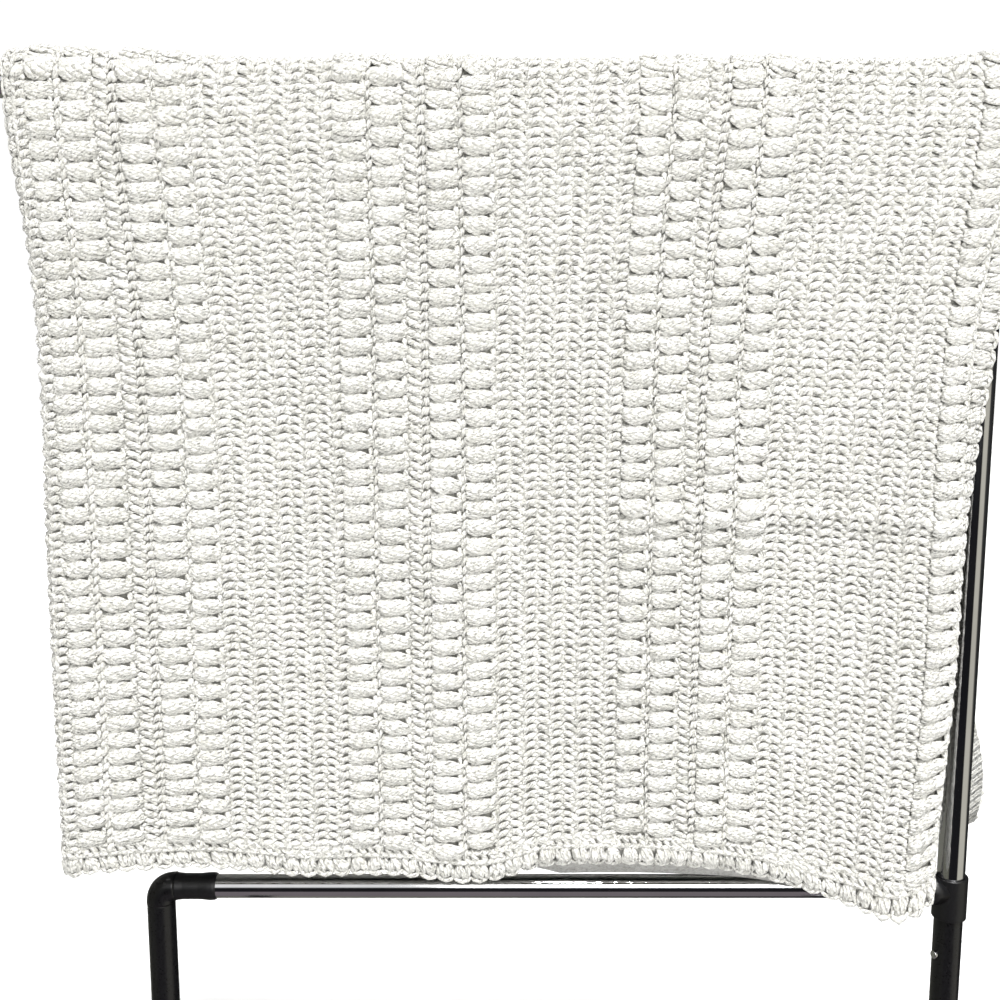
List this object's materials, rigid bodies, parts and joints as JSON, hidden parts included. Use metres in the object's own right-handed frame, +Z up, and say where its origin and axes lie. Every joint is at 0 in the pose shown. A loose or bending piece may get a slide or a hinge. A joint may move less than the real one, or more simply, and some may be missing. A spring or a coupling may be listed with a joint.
{
  "type": "crochet afghan on a garment rack",
  "caption": "Cream crochet afghan with raised puff columns between plain ribbed parts and a scalloped border, hung double over the rail of a plain chrome and black garment rack.",
  "frame": {"origin": "on the floor, midway between the two tall uprights and under the top rail", "axes": "+Z up, +X to the right as seen from the front, +Y towards the back; the picture looks along +Y"},
  "size_m": [1.252, 0.4726, 1.4553],
  "materials": {
    "crochet": "chunky plied cream yarn, matte with a soft halo",
    "chrome_tube": "bright chrome plate",
    "black_paint": "satin black powder coat",
    "black_plastic": "moulded black plastic, fine texture",
    "black_rubber": "matte black rubber"
  },
  "bodies": {
    "root": {"afghan": "crochet", "top_rail": "chrome_tube", "rail_cap_left": "black_plastic", "rail_cap_right": "black_plastic", "rail_joint_left": "black_plastic", "rail_joint_right": "black_plastic", "upright_left": "chrome_tube", "upright_right": "chrome_tube", "post_joint_left": "black_plastic", "post_joint_right": "black_plastic", "post_left": "black_paint", "post_right": "black_paint", "post_screw_left": "chrome_tube", "post_screw_right": "chrome_tube", "short_leg": "black_paint", "short_leg_bend": "black_paint", "bar_sleeve": "black_plastic", "lower_bar": "chrome_tube", "foot_left": "black_paint", "foot_short": "black_paint", "foot_right": "black_paint", "foot_socket_left": "black_plastic", "foot_socket_short": "black_plastic", "foot_socket_right": "black_plastic", "foot_cap_left_front": "black_rubber", "foot_cap_left_back": "black_rubber", "foot_cap_short_front": "black_rubber", "foot_cap_short_back": "black_rubber", "foot_cap_right_front": "black_rubber", "foot_cap_right_back": "black_rubber"}
  },
  "joints": []
}
